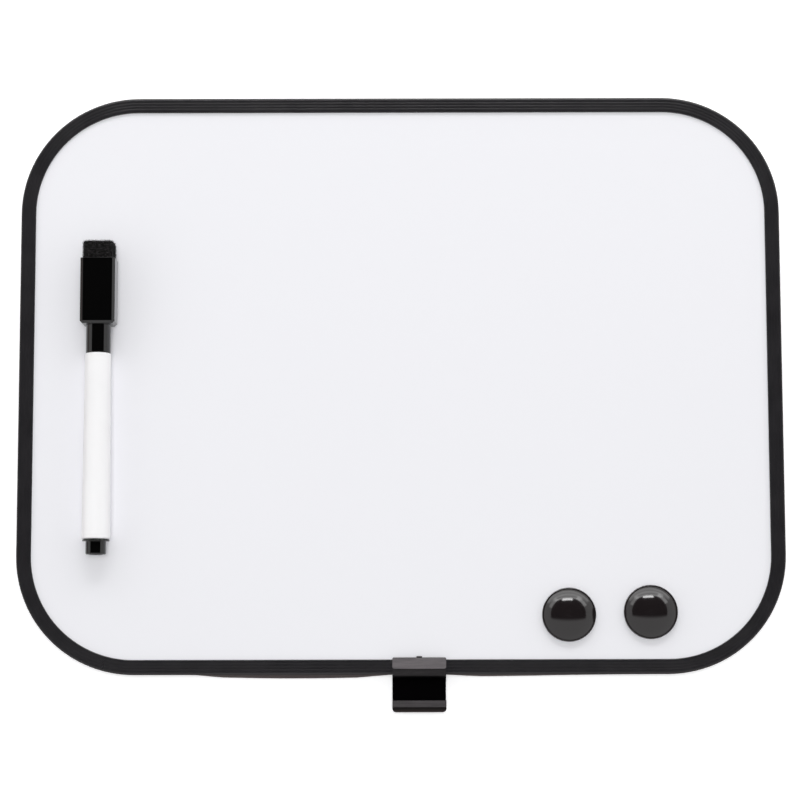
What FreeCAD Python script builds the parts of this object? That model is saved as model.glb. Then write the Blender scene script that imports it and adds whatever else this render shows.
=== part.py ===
"""Small magnetic dry-erase board with a sliding pen clip, a capped marker and two round magnets.

The board lies face up on the desk. X runs along its long edge, Y up the writing face and Z out of
that face. The origin is under the middle of the whole assembly, at desk height. Lengths are in
millimetres and angles in degrees.
"""

import FreeCAD, Part
import math
import os
import types

import Sketcher

# Each entry: alias in the sheet, value, what it measures.
BOARD_SIZES = [
    ("board_width", 305.0, "outer width over the edge trim"),
    ("board_height", 232.0, "outer height over the edge trim"),
    ("corner_radius", 47.0, "outer radius of the four corners"),
    ("sheet_thickness", 0.3, "enamelled steel writing sheet"),
    ("core_thickness", 3.4, "fibreboard core"),
    ("backing_thickness", 0.3, "plastic sheet on the back"),
    ("panel_seat_gap", 0.1, "play between the panel's edge and the trim's web"),
]
TRIM_SIZES = [
    ("trim_face", 5.9, "width of each lip, from the outer edge inwards"),
    ("trim_lip", 1.0, "thickness of each lip"),
    ("trim_web", 1.2, "thickness of the wall round the panel's edge"),
    ("trim_edge_bevel", 0.6, "bevel of the two outer long edges"),
    ("trim_tip_bevel", 0.3, "bevel of the front lip's inner long edge"),
    ("trim_groove_count", 3, "grooves drawn along the front lip by the die"),
    ("trim_groove_width", 0.5, "mouth of one groove"),
    ("trim_groove_depth", 0.2, "depth of one groove"),
    ("trim_joint_gap", 0.2, "gap where the two ends of the trim meet"),
    ("trim_joint_angle", 15.7, "place of that gap, past the bottom edge on the left corner"),
]
CLIP_SIZES = [
    ("clip_wall", 1.6, "wall of the jaw and of the pen trough"),
    ("clip_gap", 0.15, "play between the jaw and the trim on each side"),
    ("clip_width", 21.2, "length along the board's edge"),
    ("clip_reach", 6.65, "how far the jaw's arms reach over the trim"),
    ("clip_plate", 4.4, "front plate, from the free end towards the trough"),
    ("clip_step", 0.5, "how far the front plate stands over the nose"),
    ("clip_band", 1.4, "level band of the nose, next to the front plate"),
    ("clip_plate_radius", 0.8, "rounded corners of the front plate, over the nose"),
    ("clip_offset", 7.1, "middle of the clip, right of the board's middle"),
    ("trough_radius", 5.5, "inside of the pen trough"),
    ("trough_web", 1.4, "thinnest wall between the jaw and the trough"),
    ("trough_shift", 0.65, "how much thicker the trough's free wall is than its back"),
    ("trough_lip_rise", 5.1, "height of the trough's free lip above the trough's axis"),
    ("clip_lip_radius", 0.9, "rounded outer edge of the free lip"),
    ("clip_edge_radius", 0.35, "broken long edges of the free ends"),
    ("clip_foot_radius", 1.5, "rounded lower corners, seen from the front"),
    ("clip_tip_radius", 0.6, "rounded corners of the jaw's free ends"),
    ("gate_width", 2.2, "gate mark at the middle of each free end"),
    ("gate_height", 0.5, "how far the gate mark stands out or is sunk"),
]
MARKER_SIZES = [
    ("marker_edge_gap", 32.25, "marker axis from the board's left edge"),
    ("marker_top_gap", 59.95, "marker's felt end from the board's top edge"),
    ("barrel_length", 73.8, "white barrel between the cap and the end plug"),
    ("barrel_front_radius", 5.1, "outside of the barrel at the cap"),
    ("barrel_rear_radius", 5.65, "outside of the barrel at the end plug"),
    ("barrel_wall", 1.0, "wall of the barrel at its front end, where the nib holder seats"),
    ("barrel_bore_radius", 4.5, "inside of the barrel behind that seat"),
    ("barrel_chamfer", 0.35, "broken outer edges of the barrel's ends"),
    ("rib_count", 4, "ribs inside the barrel that hold the reservoir"),
    ("rib_width", 0.8, "thickness of one rib"),
    ("moulded_fit", 0.05, "radial play of the pieces pressed into the barrel"),
    ("spigot_length", 8.0, "length of the nib holder inside the barrel"),
    ("neck_radius", 3.9, "neck of the nib holder, under the cap"),
    ("neck_length", 10.0, "length of the neck, from the barrel's end"),
    ("snap_height", 0.12, "snap ring on the neck"),
    ("snap_width", 1.2, "length of the snap ring along the neck"),
    ("snap_place", 4.0, "middle of the snap ring, from the barrel's end"),
    ("nose_radius", 2.9, "nose of the nib holder, in front of the neck"),
    ("nose_length", 5.0, "length of the nose"),
    ("vent_count", 3, "air slots along the nib's bore"),
    ("vent_width", 0.5, "width of one air slot"),
    ("vent_depth", 0.35, "depth of one air slot"),
    ("nib_radius", 1.9, "fibre nib"),
    ("nib_tip_radius", 0.6, "blunt end of the nib's point"),
    ("nib_proud", 4.0, "length of nib outside the nose"),
    ("nib_point", 2.6, "length of the tapered point"),
    ("nib_tail", 3.2, "length of nib inside the reservoir"),
    ("reservoir_radius", 3.4, "ink reservoir in its film"),
    ("reservoir_play", 3.8, "free length between the reservoir and the end plug"),
    ("plug_spigot", 6.0, "length of the end plug inside the barrel"),
    ("plug_wall", 1.0, "wall of the end plug"),
    ("plug_flange_radius", 5.4, "flange of the end plug"),
    ("plug_flange", 0.9, "thickness of the flange"),
    ("plug_knob_radius", 4.05, "knob behind the flange"),
    ("plug_knob", 5.2, "length of the knob"),
    ("plug_bevel", 0.35, "bevelled rims of the flange and the knob"),
    ("plug_dish", 0.9, "depth of the dish in the knob's end, and the width of its sloped side"),
]
CAP_SIZES = [
    ("skirt_radius", 4.9, "outside of the cap's round skirt"),
    ("skirt_length", 11.6, "length of the skirt"),
    ("skirt_chamfer", 0.25, "broken edge of the cap's mouth"),
    ("cap_play", 0.25, "radial play of the cap over the neck and the nose"),
    ("box_length", 26.3, "length of the eraser holder"),
    ("box_width", 13.8, "width of the eraser holder"),
    ("box_depth", 12.0, "depth of the eraser holder"),
    ("box_wall", 0.8, "wall of the eraser holder round the felt"),
    ("box_ledge", 0.6, "ledge that the felt stops on"),
    ("box_chamfer", 1.1, "broken long edges of the eraser holder"),
    ("box_end_chamfer", 0.9, "broken edges at the skirt's end"),
    ("box_floor", 1.4, "floor of the holder, over the skirt"),
    ("socket_wall", 0.9, "wall of the closed tube round the nib"),
    ("nib_room", 1.5, "free length past the nib's point"),
    ("felt_proud", 7.1, "felt outside its holder"),
    ("felt_held", 8.0, "felt inside its holder"),
    ("felt_play", 0.05, "play round the felt"),
    ("cap_magnet_thickness", 3.0, "block magnet in the cap"),
    ("cap_magnet_width", 10.2, "width of that magnet"),
    ("cap_magnet_gap", 2.9, "gap between the closed tube and that magnet"),
]
MAGNET_SIZES = [
    ("dome_radius", 10.65, "outside of a round magnet"),
    ("dome_rim", 0.7, "flat ring round the dome"),
    ("dome_side", 2.2, "height of the straight side"),
    ("dome_height", 6.2, "full height of a round magnet"),
    ("dome_core", 0.9, "depth of the core over the disc, which keeps the cap's wall even"),
    ("dome_ledge", 2.2, "ledge that the disc seats on"),
    ("disc_radius", 8.6, "ferrite disc"),
    ("disc_thickness", 3.0, "thickness of the disc"),
    ("disc_fit", 0.05, "radial play round the disc"),
    ("left_magnet_edge_gap", 86.2, "left magnet's centre from the board's right edge"),
    ("left_magnet_foot_gap", 23.35, "left magnet's centre from the board's bottom edge"),
    ("right_magnet_edge_gap", 53.95, "right magnet's centre from the board's right edge"),
    ("right_magnet_foot_gap", 24.35, "right magnet's centre from the board's bottom edge"),
]
MAKING_SIZES = [
    ("overrun", 1.0, "how far a cutting profile passes the surface that it cuts"),
]

SHEET = "Sizes"
FULL_TURN = 360.0
SAME_PLACE = 1e-4


class Size:
    """A value with the formula on the sheet that gives it."""

    def __init__(self, value, formula):
        self.value = value
        self.formula = formula

    def __add__(self, other):
        other = as_size(other)
        return Size(self.value + other.value, f"({self.formula} + {other.formula})")

    def __sub__(self, other):
        other = as_size(other)
        return Size(self.value - other.value, f"({self.formula} - {other.formula})")

    def __mul__(self, other):
        other = as_size(other)
        return Size(self.value * other.value, f"({self.formula} * {other.formula})")

    def __truediv__(self, other):
        other = as_size(other)
        return Size(self.value / other.value, f"({self.formula} / {other.formula})")

    def __neg__(self):
        return Size(-self.value, f"(0 - {self.formula})")


def as_size(number):
    """A plain number, such as a sign or a half, as a Size."""
    return number if isinstance(number, Size) else Size(float(number), repr(float(number)))


def root(size):
    return Size(math.sqrt(size.value), f"sqrt({size.formula})")


def sine(angle):
    return Size(math.sin(math.radians(angle.value)), f"sin({angle.formula})")


def cosine(angle):
    return Size(math.cos(math.radians(angle.value)), f"cos({angle.formula})")


def crown_radius(half_width, rise):
    """Radius of the arc that rises by rise over half_width, level at its top."""
    return (half_width * half_width + rise * rise) / (rise * 2)


def fill_sheet(doc):
    """Writes every size to the sheet and returns them by alias."""
    sheet = doc.addObject("Spreadsheet::Sheet", SHEET)
    size = types.SimpleNamespace()
    row = 1
    for group in (BOARD_SIZES, TRIM_SIZES, CLIP_SIZES, MARKER_SIZES, CAP_SIZES, MAGNET_SIZES, MAKING_SIZES):
        for alias, value, meaning in group:
            sheet.set(f"A{row}", meaning)
            sheet.set(f"B{row}", str(value))
            sheet.setAlias(f"B{row}", alias)
            setattr(size, alias, Size(float(value), f"{SHEET}.{alias}"))
            row += 1
    doc.recompute()
    return size


doc = FreeCAD.newDocument("WritingBoard")
size = fill_sheet(doc)

# Places that several pieces share.
half_width = size.board_width / 2
half_height = size.board_height / 2
panel_thickness = size.backing_thickness + size.core_thickness + size.sheet_thickness
board_thickness = panel_thickness + size.trim_lip * 2
board_back = size.clip_wall + size.clip_gap
writing_face = board_back + size.trim_lip + panel_thickness
free_wall = size.clip_wall + size.trough_shift
clip_drop = size.clip_gap + size.trough_web + size.trough_radius * 2 + free_wall
board_middle = clip_drop / 2
cap_length = size.skirt_length + size.box_length
seat_radius = size.barrel_front_radius - size.barrel_wall
shoulder = board_middle + half_height - size.marker_top_gap - size.felt_proud - cap_length
marker_x = size.marker_edge_gap - half_width
marker_axis = writing_face + size.box_depth / 2
nib_end = size.neck_length + size.nose_length + size.nib_proud
nose_bore = size.nose_radius + size.cap_play
tube_floor = nib_end + size.nib_room
tube_end = tube_floor + size.socket_wall
reservoir_rear = size.plug_spigot + size.reservoir_play - size.barrel_length


def bind(item, prop, length):
    """Ties a property of a feature to the sheet."""
    item.setExpression(prop, as_size(length).formula)


def new_body(name, x, y, z):
    body = doc.addObject("PartDesign::Body", name)
    body.Label = name
    bind(body, ".Placement.Base.x", x)
    bind(body, ".Placement.Base.y", y)
    bind(body, ".Placement.Base.z", z)
    return body


def new_sketch(body, role, name, offset=0):
    """A sketch on one of the body's own planes, or offset along that plane's normal."""
    sketch = body.newObject("Sketcher::SketchObject", name)
    plane = next(item for item in body.Origin.OriginFeatures if item.Role == role)
    sketch.AttachmentSupport = [(plane, "")]
    sketch.MapMode = "FlatFace"
    if isinstance(offset, Size):
        bind(sketch, ".AttachmentOffset.Base.z", offset)
    return sketch


def hold_point(sketch, geometry, end, x, y):
    """Fixes one end of a curve by its distances from the sketch's origin."""
    for kind, axis, place in (("DistanceX", -2, x), ("DistanceY", -1, y)):
        if not isinstance(place, Size):
            sketch.addConstraint(Sketcher.Constraint("PointOnObject", geometry, end, axis))
            continue
        held = sketch.addConstraint(Sketcher.Constraint(kind, -1, 1, geometry, end, place.value))
        bind(sketch, f"Constraints[{held}]", place)


def hold_radius(sketch, geometry, radius):
    held = sketch.addConstraint(Sketcher.Constraint("Radius", geometry, radius.value))
    bind(sketch, f"Constraints[{held}]", radius)


def arc_between(start, end, radius, turn):
    """The shorter arc from start to end, round a centre on the left for turn +1, or the right."""
    middle = (start + end) / 2
    chord = end - start
    rise = math.sqrt(max(radius * radius - chord.Length * chord.Length / 4, 0))
    across = FreeCAD.Vector(-chord.y, chord.x, 0).normalize() * turn
    centre = middle + across * rise
    first, last = (start, end) if turn > 0 else (end, start)
    angles = [math.atan2(point.y - centre.y, point.x - centre.x) for point in (first, last)]
    circle = Part.Circle(centre, FreeCAD.Vector(0, 0, 1), radius)
    return Part.ArcOfCircle(circle, angles[0], angles[1])


def outline(sketch, corners):
    """Draws one closed outline.

    A corner is (x, y), or (x, y, radius, turn) where an arc of that radius leads to the next
    corner, turning left for +1 and right for -1.
    """
    first = sketch.GeometryCount
    count = len(corners)
    points = [FreeCAD.Vector(as_size(c[0]).value, as_size(c[1]).value, 0) for c in corners]
    starts = []
    for index, corner in enumerate(corners):
        start, end = points[index], points[(index + 1) % count]
        if len(corner) > 2:
            sketch.addGeometry(arc_between(start, end, corner[2].value, corner[3]), False)
            starts.append(1 if corner[3] > 0 else 2)
        else:
            sketch.addGeometry(Part.LineSegment(start, end), False)
            starts.append(1)
    for index, corner in enumerate(corners):
        following = (index + 1) % count
        far_end = 3 - starts[index]
        sketch.addConstraint(
            Sketcher.Constraint("Coincident", first + index, far_end, first + following, starts[following])
        )
        hold_point(sketch, first + index, starts[index], corner[0], corner[1])
        if len(corner) > 2:
            hold_radius(sketch, first + index, corner[2])


def circle(sketch, radius):
    """A circle round the sketch's origin."""
    index = sketch.addGeometry(Part.Circle(FreeCAD.Vector(), FreeCAD.Vector(0, 0, 1), radius.value), False)
    sketch.addConstraint(Sketcher.Constraint("Coincident", index, 3, -1, 1))
    hold_radius(sketch, index, radius)


def level_axis(sketch, height, half_length):
    """A level construction line, the first one in its sketch, to turn a profile about."""
    ends = [FreeCAD.Vector(half_length.value * side, height.value, 0) for side in (-1, 1)]
    index = sketch.addGeometry(Part.LineSegment(*ends), True)
    hold_point(sketch, index, 1, -half_length, height)
    hold_point(sketch, index, 2, half_length, height)


def rectangle(sketch, left, bottom, right, top):
    outline(sketch, [(left, bottom), (right, bottom), (right, top), (left, top)])


def rounded_rectangle(sketch, half_x, half_y, radius):
    in_x = half_x - radius
    in_y = half_y - radius
    outline(
        sketch,
        [
            (-in_x, -half_y),
            (in_x, -half_y, radius, 1),
            (half_x, -in_y),
            (half_x, in_y, radius, 1),
            (in_x, half_y),
            (-in_x, half_y, radius, 1),
            (-half_x, in_y),
            (-half_x, -in_y, radius, 1),
        ],
    )


def bevelled_rectangle(sketch, half_x, half_y, bevel):
    in_x = half_x - bevel
    in_y = half_y - bevel
    outline(
        sketch,
        [
            (-in_x, -half_y),
            (in_x, -half_y),
            (half_x, -in_y),
            (half_x, in_y),
            (in_x, half_y),
            (-in_x, half_y),
            (-half_x, in_y),
            (-half_x, -in_y),
        ],
    )


def pad(body, sketch, length, both_ways=False, backwards=False):
    feature = body.newObject("PartDesign::Pad", sketch.Name + "_pad")
    feature.Profile = sketch
    feature.SideType = "Symmetric" if both_ways else "One side"
    feature.Reversed = backwards
    bind(feature, "Length", length)
    doc.recompute()
    return feature


def cut_checked(body, feature, before):
    """A cut that points away from the solid changes nothing, so its volume is compared."""
    doc.recompute()
    if not feature.Shape.Volume < before:
        raise ValueError(f"{body.Label}: {feature.Name} cuts nothing")
    return feature


def pocket(body, sketch, length=None, both_ways=False, backwards=False):
    """Cuts to a length, or right through where none is given."""
    before = body.Shape.Volume
    feature = body.newObject("PartDesign::Pocket", sketch.Name + "_pocket")
    feature.Profile = sketch
    feature.SideType = "Symmetric" if both_ways else "One side"
    feature.Reversed = backwards
    if length is None:
        feature.Type = "ThroughAll"
    else:
        bind(feature, "Length", length)
    return cut_checked(body, feature, before)


def revolve(body, sketch):
    feature = body.newObject("PartDesign::Revolution", sketch.Name + "_turned")
    feature.Profile = sketch
    feature.ReferenceAxis = (sketch, ["V_Axis"])
    feature.Angle = FULL_TURN
    doc.recompute()
    return feature


def groove(body, sketch, axis="V_Axis"):
    before = body.Shape.Volume
    feature = body.newObject("PartDesign::Groove", sketch.Name + "_turned_out")
    feature.Profile = sketch
    feature.ReferenceAxis = (sketch, [axis])
    feature.Angle = FULL_TURN
    return cut_checked(body, feature, before)


def repeat_round_y(body, feature, name, count):
    """Repeats a feature round the body's Y axis."""
    pattern = body.newObject("PartDesign::PolarPattern", name)
    axis = next(item for item in body.Origin.OriginFeatures if item.Role == "Y_Axis")
    pattern.Originals = [feature]
    pattern.Axis = (axis, [""])
    pattern.Angle = FULL_TURN
    bind(pattern, "Occurrences", count)
    body.Tip = pattern
    doc.recompute()
    return pattern


def edges_where(feature, test):
    """Names of the edges whose end points all pass the test, in the body's own frame."""
    return [
        f"Edge{number}"
        for number, edge in enumerate(feature.Shape.Edges, 1)
        if edge.Vertexes and all(test(vertex.Point) for vertex in edge.Vertexes)
    ]


def near(place, target):
    return abs(place - target.value) < SAME_PLACE


def dress(body, kind, prop, feature, edges, length):
    """Rounds or breaks the named edges of a feature."""
    if not edges:
        raise ValueError(f"{body.Label}: no edge found to dress")
    name = f"{feature.Name}_{kind.lower()}"
    dressed = body.newObject("PartDesign::" + kind, name)
    dressed.Base = (feature, edges)
    bind(dressed, prop, length)
    doc.recompute()
    return dressed


def panel(name, bottom, thickness):
    """One layer of the board, cut to fit inside the trim."""
    inset = size.trim_web + size.panel_seat_gap
    body = new_body(name, 0, board_middle, bottom)
    sketch = new_sketch(body, "XY_Plane", name + "_cut")
    rounded_rectangle(sketch, half_width - inset, half_height - inset, size.corner_radius - inset)
    pad(body, sketch, thickness)
    return body


def trim_grooves(face):
    """Corners of the grooves along the front lip, from its inner edge outwards."""
    count = int(size.trim_groove_count.value)
    pitch = (size.trim_face - size.trim_edge_bevel) / (size.trim_groove_count + 1)
    half_mouth = size.trim_groove_width / 2
    corners = []
    for number in range(count, 0, -1):
        middle = size.trim_edge_bevel + pitch * number
        corners += [
            (middle + half_mouth, face),
            (middle, face - size.trim_groove_depth),
            (middle - half_mouth, face),
        ]
    return corners


def frame_trim():
    """Flexible channel pushed on the panel's edge: one section swept once round, cut at its joint."""
    body = new_body("frame_trim", 0, board_middle, board_back)

    path = new_sketch(body, "XY_Plane", "trim_path")
    in_x = half_width - size.corner_radius
    in_y = half_height - size.corner_radius
    outline(
        path,
        [
            (0, -half_height),
            (in_x, -half_height, size.corner_radius, 1),
            (half_width, -in_y),
            (half_width, in_y, size.corner_radius, 1),
            (in_x, half_height),
            (-in_x, half_height, size.corner_radius, 1),
            (-half_width, in_y),
            (-half_width, -in_y, size.corner_radius, 1),
            (-in_x, -half_height),
        ],
    )

    # Channel section, as (distance in from the outer face, height above the back).
    edge = size.trim_edge_bevel
    tip = size.trim_tip_bevel
    face = size.trim_face
    top = board_thickness
    section = [
        (edge, 0),
        (face, 0),
        (face, size.trim_lip),
        (size.trim_web, size.trim_lip),
        (size.trim_web, top - size.trim_lip),
        (face, top - size.trim_lip),
        (face, top - tip),
        (face - tip, top),
    ]
    section += trim_grooves(top)
    section += [(edge, top), (0, top - edge), (0, edge)]
    profile = new_sketch(body, "YZ_Plane", "trim_section")
    outline(profile, [(as_size(across) - half_height, height) for across, height in section])

    sweep = body.newObject("PartDesign::AdditivePipe", "trim_sweep")
    sweep.Profile = profile
    sweep.Spine = (path, [])
    sweep.Mode = "Standard"
    doc.recompute()

    # The joint is a thin slot along a radius of the lower left corner.
    out_x = -sine(size.trim_joint_angle)
    out_y = -cosine(size.trim_joint_angle)
    half_gap = size.trim_joint_gap / 2
    inner = size.corner_radius - face - size.overrun
    outer = size.corner_radius + size.overrun

    def on_radius(distance, side):
        x = -in_x + out_x * distance - out_y * half_gap * side
        y = -in_y + out_y * distance + out_x * half_gap * side
        return x, y

    slot = new_sketch(body, "XY_Plane", "trim_joint")
    outline(slot, [on_radius(inner, -1), on_radius(outer, -1), on_radius(outer, 1), on_radius(inner, 1)])
    pocket(body, slot, board_thickness * 2 + size.overrun, both_ways=True)
    return body


def corner_waste(sketch, side, end, end_sign, radius):
    """The waste outside one rounded corner of the clip, seen from the front."""
    half = size.clip_width / 2
    beyond = (half + size.overrun) * side
    outline(
        sketch,
        [
            (beyond, end - radius * end_sign),
            (half * side, end - radius * end_sign, radius, side * end_sign),
            ((half - radius) * side, end),
            ((half - radius) * side, end + size.overrun * end_sign),
            (beyond, end + size.overrun * end_sign),
        ],
    )


def marker_clip():
    """One springy moulding: a jaw over the board's edge and, below it, an open trough for a pen.

    Its own frame has Y = 0 at the board's bottom edge and Z = 0 at the desk.
    """
    body = new_body("marker_clip", size.clip_offset, board_middle - half_height, 0)
    wall = size.clip_wall
    reach = size.clip_reach
    inner = size.trough_radius
    outer = inner + wall
    slot_front = wall + size.clip_gap * 2 + board_thickness
    front = slot_front + wall
    ceiling = -(size.clip_gap + size.trough_web)
    axis_y = ceiling - inner
    axis_z = outer
    back_y = axis_y - size.trough_shift
    plate_foot = reach - size.clip_plate
    nose = plate_foot - size.clip_band
    nose_front = front - size.clip_step
    lip_top = axis_z + size.trough_lip_rise
    lip_inner = axis_y - root(inner * inner - size.trough_lip_rise * size.trough_lip_rise)
    lip_outer = back_y - root(outer * outer - size.trough_lip_rise * size.trough_lip_rise)

    profile = new_sketch(body, "YZ_Plane", "clip_profile")
    outline(
        profile,
        [
            (back_y, 0),
            (reach, 0),
            (reach, wall),
            (-size.clip_gap, wall),
            (-size.clip_gap, slot_front),
            (reach, slot_front),
            (reach, front),
            (plate_foot, front),
            (plate_foot, nose_front),
            (nose, nose_front, crown_radius(nose - ceiling, nose_front - axis_z), 1),
            (ceiling, axis_z, inner, -1),
            (axis_y, wall, inner, -1),
            (axis_y - inner, axis_z, inner, -1),
            (lip_inner, lip_top),
            (lip_outer, lip_top, outer, 1),
            (back_y - outer, axis_z, outer, 1),
        ],
    )
    blank = pad(body, profile, size.clip_width, both_ways=True)

    def on_lip_edge(point):
        return near(point.z, lip_top) and near(point.y, lip_outer)

    def on_free_end(point):
        at_lip = near(point.z, lip_top) and near(point.y, lip_inner)
        at_front_arm = near(point.y, reach) and near(point.z, front)
        at_back_arm = near(point.y, reach) and near(point.z, wall)
        return at_lip or at_front_arm or at_back_arm

    def along_x(name):
        ends = blank.Shape.Edges[int(name[4:]) - 1].Vertexes
        return abs(ends[0].Point.x - ends[-1].Point.x) > SAME_PLACE

    long_edges = [name for name in edges_where(blank, on_free_end) if along_x(name)]
    broken = dress(body, "Fillet", "Radius", blank, long_edges, size.clip_edge_radius)
    dress(body, "Fillet", "Radius", broken, edges_where(broken, on_lip_edge), size.clip_lip_radius)

    waste = new_sketch(body, "XY_Plane", "clip_corners")
    for side in (-1, 1):
        corner_waste(waste, side, back_y - outer, -1, size.clip_foot_radius)
        corner_waste(waste, side, reach, 1, size.clip_tip_radius)
    pocket(body, waste, front * 2 + lip_top * 2, both_ways=True)
    plate_waste = new_sketch(body, "XY_Plane", "clip_plate_corners", front)
    for side in (-1, 1):
        corner_waste(plate_waste, side, plate_foot, -1, size.clip_plate_radius)
    pocket(body, plate_waste, size.clip_step)

    # Gate marks: a nub on the front arm's end and a shallow notch in the trough's lip.
    half_gate = size.gate_width / 2
    nub = new_sketch(body, "XY_Plane", "clip_nub", slot_front + size.clip_edge_radius)
    rectangle(nub, -half_gate, reach - size.gate_height, half_gate, reach + size.gate_height)
    pad(body, nub, wall - size.clip_edge_radius * 2)
    notch = new_sketch(body, "XY_Plane", "clip_notch", lip_top)
    rectangle(notch, -half_gate, lip_inner - size.gate_height * 2, half_gate, lip_inner + size.overrun)
    pocket(body, notch, size.gate_height)
    return body


def marker_body(name):
    """The marker's pieces share one frame: Y along the axis, zero at the barrel's front end."""
    return new_body(name, marker_x, shoulder, marker_axis)


def barrel():
    """Tapered tube with a seat for the nib holder and ribs that hold the reservoir behind it."""
    body = marker_body("barrel")
    cut = size.barrel_chamfer
    front = size.barrel_front_radius
    rear = size.barrel_rear_radius
    bore = size.barrel_bore_radius
    end = -size.barrel_length
    seat_end = -(size.spigot_length + size.rib_width)
    tube = new_sketch(body, "XY_Plane", "barrel_tube")
    outline(
        tube,
        [
            (seat_radius, 0),
            (seat_radius, seat_end),
            (bore, seat_end),
            (bore, end),
            (rear - cut, end),
            (rear, end + cut),
            (front, -cut),
            (front - cut, 0),
        ],
    )
    revolve(body, tube)

    held = size.reservoir_radius + size.moulded_fit
    rib = new_sketch(body, "XY_Plane", "barrel_rib")
    rectangle(rib, held, reservoir_rear, bore + size.moulded_fit, seat_end)
    first = pad(body, rib, size.rib_width, both_ways=True)
    repeat_round_y(body, first, "barrel_ribs", size.rib_count)
    return body


def nib_holder():
    """Spigot in the barrel, neck with a snap ring for the cap, and a nose that guides the nib."""
    body = marker_body("nib_holder")
    tail = size.spigot_length
    neck = size.neck_radius
    snap_low = size.snap_place - size.snap_width / 2
    snap_high = size.snap_place + size.snap_width / 2
    nose_end = size.neck_length + size.nose_length
    bore = size.nib_radius + size.moulded_fit
    turned = new_sketch(body, "XY_Plane", "holder_turned")
    outline(
        turned,
        [
            (bore, -tail),
            (seat_radius - size.moulded_fit, -tail),
            (seat_radius - size.moulded_fit, 0),
            (neck, 0),
            (neck, snap_low),
            (neck + size.snap_height, size.snap_place),
            (neck, snap_high),
            (neck, size.neck_length - size.snap_width),
            (size.nose_radius, size.neck_length),
            (size.nose_radius, nose_end),
            (bore, nose_end),
        ],
    )
    revolve(body, turned)

    half_vent = size.vent_width / 2
    vent = new_sketch(body, "XZ_Plane", "holder_vent", tail)
    rectangle(vent, -half_vent, 0, half_vent, bore + size.vent_depth)
    slot = pocket(body, vent, tail + nose_end)
    repeat_round_y(body, slot, "holder_vents", size.vent_count)
    return body


def nib():
    """Fibre rod from the reservoir to the writing point."""
    body = marker_body("nib")
    tail = size.spigot_length + size.nib_tail
    rod = new_sketch(body, "XY_Plane", "nib_rod")
    outline(
        rod,
        [
            (0, -tail),
            (size.nib_radius, -tail),
            (size.nib_radius, nib_end - size.nib_point),
            (size.nib_tip_radius, nib_end),
            (0, nib_end),
        ],
    )
    revolve(body, rod)
    return body


def ink_reservoir():
    """Fibre bundle in a film sleeve, holed at the front for the nib's tail."""
    body = marker_body("ink_reservoir")
    front = -size.spigot_length
    hole = size.nib_radius + size.moulded_fit
    floor = front - size.nib_tail - size.moulded_fit
    bundle = new_sketch(body, "XY_Plane", "reservoir_bundle")
    outline(
        bundle,
        [
            (0, reservoir_rear),
            (size.reservoir_radius, reservoir_rear),
            (size.reservoir_radius, front),
            (hole, front),
            (hole, floor),
            (0, floor),
        ],
    )
    revolve(body, bundle)
    return body


def end_plug():
    """Cored plug with a flange and a dished knob behind the barrel."""
    body = marker_body("end_plug")
    rear = -size.barrel_length
    inside = rear + size.plug_spigot
    knob_start = rear - size.plug_flange
    end = knob_start - size.plug_knob
    cut = size.plug_bevel
    knob = size.plug_knob_radius
    flange = size.plug_flange_radius
    spigot = size.barrel_bore_radius - size.moulded_fit
    core = spigot - size.plug_wall
    dish = knob - size.plug_wall
    turned = new_sketch(body, "XY_Plane", "plug_turned")
    outline(
        turned,
        [
            (0, rear),
            (core, rear),
            (core, inside),
            (spigot, inside),
            (spigot, rear),
            (flange - cut, rear),
            (flange, rear - cut),
            (flange, knob_start),
            (knob, knob_start),
            (knob, end + cut),
            (knob - cut, end),
            (dish, end),
            (dish - size.plug_dish, end + size.plug_dish),
            (0, end + size.plug_dish),
        ],
    )
    revolve(body, turned)
    return body


def marker_cap():
    """One moulding: round skirt, closed tube round the nib, and a box that holds the eraser felt."""
    body = marker_body("marker_cap")
    skirt = size.skirt_length
    half_x = size.box_width / 2
    half_z = size.box_depth / 2
    top = skirt + size.box_length

    box = new_sketch(body, "XZ_Plane", "cap_box", -skirt)
    bevelled_rectangle(box, half_x, half_z, size.box_chamfer)
    blank = pad(body, box, size.box_length, backwards=True)
    end_edges = edges_where(blank, lambda point: near(point.y, skirt))
    dress(body, "Chamfer", "Size", blank, end_edges, size.box_end_chamfer)

    felt_x = half_x - size.box_wall
    felt_z = half_z - size.box_wall
    felt_room = new_sketch(body, "XZ_Plane", "cap_felt_room", -top)
    rectangle(felt_room, -felt_x, -felt_z, felt_x, felt_z)
    pocket(body, felt_room, size.felt_held, backwards=True)

    room_x = felt_x - size.box_ledge
    room_z = felt_z - size.box_ledge
    hollow = new_sketch(body, "XZ_Plane", "cap_hollow", -(top - size.felt_held))
    rectangle(hollow, -room_x, -room_z, room_x, room_z)
    pocket(body, hollow, size.box_length - size.felt_held - size.box_floor, backwards=True)

    # The skirt and the closed tube are turned in one, from the mouth to the tube's end.
    neck_bore = size.neck_radius + size.snap_height + size.cap_play
    tube = nose_bore + size.socket_wall
    edge = size.skirt_chamfer
    turned = new_sketch(body, "XY_Plane", "cap_skirt_and_tube")
    outline(
        turned,
        [
            (neck_bore, 0),
            (size.skirt_radius - edge, 0),
            (size.skirt_radius, edge),
            (size.skirt_radius, skirt + size.box_floor),
            (tube, skirt + size.box_floor),
            (tube, tube_end),
            (0, tube_end),
            (0, tube_floor),
            (nose_bore, tube_floor),
            (nose_bore, size.neck_length + size.cap_play),
            (neck_bore, size.neck_length + size.cap_play),
        ],
    )
    revolve(body, turned)
    throat = new_sketch(body, "XY_Plane", "cap_throat")
    rectangle(throat, 0, skirt - size.overrun, nose_bore, skirt + size.box_floor + size.overrun)
    groove(body, throat)
    return body


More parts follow.
